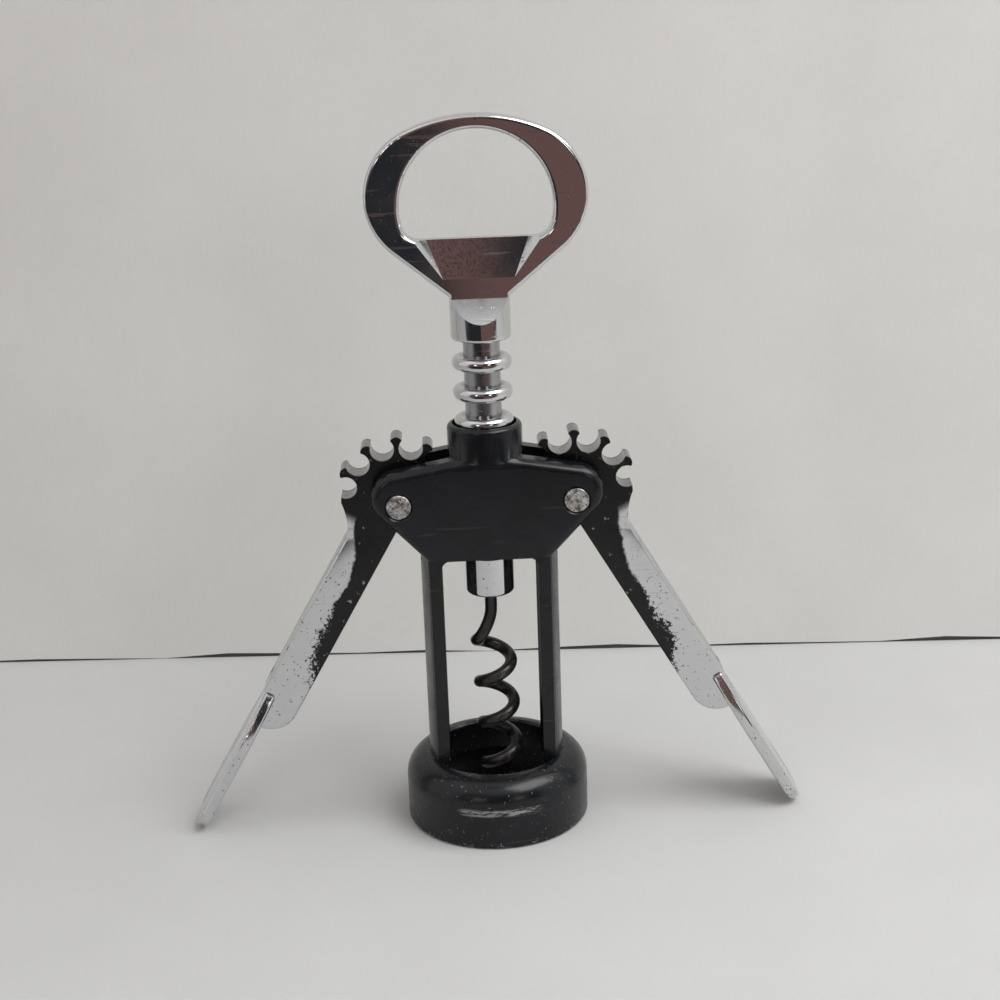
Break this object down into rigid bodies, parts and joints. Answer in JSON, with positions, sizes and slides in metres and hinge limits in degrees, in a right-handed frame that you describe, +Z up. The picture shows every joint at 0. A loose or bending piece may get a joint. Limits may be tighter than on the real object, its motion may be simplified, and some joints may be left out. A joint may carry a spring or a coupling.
{
  "type": "wing corkscrew",
  "caption": "Wing corkscrew: geared levers drive a ringed rack that lifts a wire worm through a bell frame; the top handle holds a crown cap opener.",
  "frame": {"origin": "on the table, under the middle of the bell", "axes": "+Z up along the spindle, +X towards the right lever, the front (the face with the opener recess) faces -Y"},
  "size_m": [0.1322, 0.0394, 0.1512],
  "materials": {
    "frame_paint": "near-black semi-gloss paint, worn pale on the bell's shoulder",
    "handle_chrome": "bright plating with fine scratches",
    "lever_chrome": "bright plating, dull and pitted near the gear",
    "rack_chrome": "bright plating, darker between the rings",
    "rivet_steel": "bare metal, scuffed and pitted",
    "pin_steel": "plain steel",
    "worm_black": "black finish with a slight brown tint, worn at the point"
  },
  "bodies": {
    "frame": {"frame": "frame_paint", "right_pivot_rivet": "rivet_steel", "left_pivot_rivet": "rivet_steel"},
    "rack": {"rack_sleeve": "rack_chrome"},
    "spindle": {"opener_handle": "handle_chrome", "worm_ferrule": "rack_chrome", "ferrule_pin": "pin_steel", "worm": "worm_black"},
    "right_lever": {"right_lever": "lever_chrome"},
    "left_lever": {"left_lever": "lever_chrome"}
  },
  "joints": [
    {"name": "rack_slide", "type": "slide", "parent": "frame", "child": "rack", "axis": [0, 0, 1], "range_m": [-0.0255, 0.0063]},
    {"name": "spindle_spin", "type": "hinge", "parent": "rack", "child": "spindle", "pos_m": [0, 0, 0.0832], "axis": [0, 0, 1], "continuous": true},
    {"name": "right_lever_hinge", "type": "hinge", "parent": "frame", "child": "right_lever", "pos_m": [0.01835, 0, 0.073], "axis": [0, 1, 0], "range_deg": [-122, 30.3]},
    {"name": "left_lever_hinge", "type": "hinge", "parent": "frame", "child": "left_lever", "pos_m": [-0.01835, 0, 0.073], "axis": [0, 1, 0], "range_deg": [-30.3, 122]}
  ],
  "couplings": [
    {"joint": "right_lever_hinge", "follows": "rack_slide", "rad_per_m": 83.333},
    {"joint": "left_lever_hinge", "follows": "rack_slide", "rad_per_m": -83.333}
  ]
}
